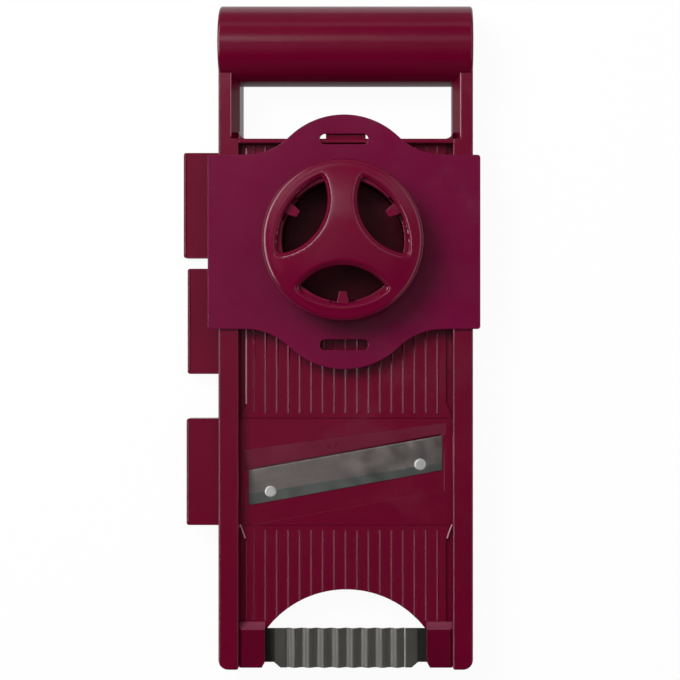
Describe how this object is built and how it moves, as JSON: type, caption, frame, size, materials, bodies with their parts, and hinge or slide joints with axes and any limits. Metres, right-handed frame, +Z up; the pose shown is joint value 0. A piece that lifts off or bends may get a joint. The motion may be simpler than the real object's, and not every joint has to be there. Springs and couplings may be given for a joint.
{
  "type": "mandoline slicer",
  "caption": "Flat kitchen slicer with ribbed decks, a diagonal blade insert, stored julienne inserts, a crinkle blade, a bar handle and a round food holder that rides on its rails.",
  "frame": {"origin": "on the bench, under the handle's flat underside", "axes": "+Y from the toe to the handle along the slicer, +X to the right seen from above, +Z up from the bench through the decks"},
  "size_m": [0.1596, 0.3539, 0.063],
  "materials": {
    "frame_plastic": "burgundy moulded plastic, satin to glossy",
    "insert_plastic": "burgundy moulded plastic, glossy",
    "holder_plastic": "burgundy moulded plastic, glossy",
    "blade_steel": "stainless strip, fine grain",
    "rivet_metal": "satin rivet heads",
    "pin_steel": "polished steel pins"
  },
  "bodies": {
    "frame": {"handle_shell": "frame_plastic", "handle_base": "frame_plastic", "left_rail": "frame_plastic", "right_rail": "frame_plastic", "cross_bar": "frame_plastic", "middle_guide_bar": "frame_plastic", "lower_guide_bar": "frame_plastic", "feed_deck": "frame_plastic", "exit_deck": "frame_plastic", "left_end_block": "frame_plastic", "right_end_block": "frame_plastic", "crinkle_blade": "blade_steel"},
    "slicing_insert": {"slicing_plate": "insert_plastic", "slicing_blade": "blade_steel", "slicing_rivets": "rivet_metal"},
    "fine_insert": {"fine_plate": "insert_plastic", "fine_blade": "blade_steel", "fine_comb": "blade_steel", "fine_rivets": "rivet_metal"},
    "coarse_insert": {"coarse_plate": "insert_plastic", "coarse_blade": "blade_steel", "coarse_comb": "blade_steel", "coarse_rivets": "rivet_metal"},
    "holder": {"holder_plate": "holder_plastic", "holder_well": "holder_plastic"},
    "pusher": {"knob_cap": "holder_plastic", "pusher_stem": "holder_plastic", "pin_disc": "holder_plastic", "holder_pins": "pin_steel"}
  },
  "joints": [
    {"name": "slicing_insert_slide", "type": "slide", "parent": "frame", "child": "slicing_insert", "axis": [-1, 0, 0], "range_m": [0, 0.13]},
    {"name": "fine_insert_slide", "type": "slide", "parent": "frame", "child": "fine_insert", "axis": [-1, 0, 0], "range_m": [-0.003, 0.127]},
    {"name": "coarse_insert_slide", "type": "slide", "parent": "frame", "child": "coarse_insert", "axis": [-1, 0, 0], "range_m": [-0.0009, 0.1291]},
    {"name": "holder_slide", "type": "slide", "parent": "frame", "child": "holder", "axis": [0, 1, 0], "range_m": [-0.205, 0.022]},
    {"name": "pusher_slide", "type": "slide", "parent": "holder", "child": "pusher", "axis": [0, 0, 1], "range_m": [0, 0.015]}
  ]
}
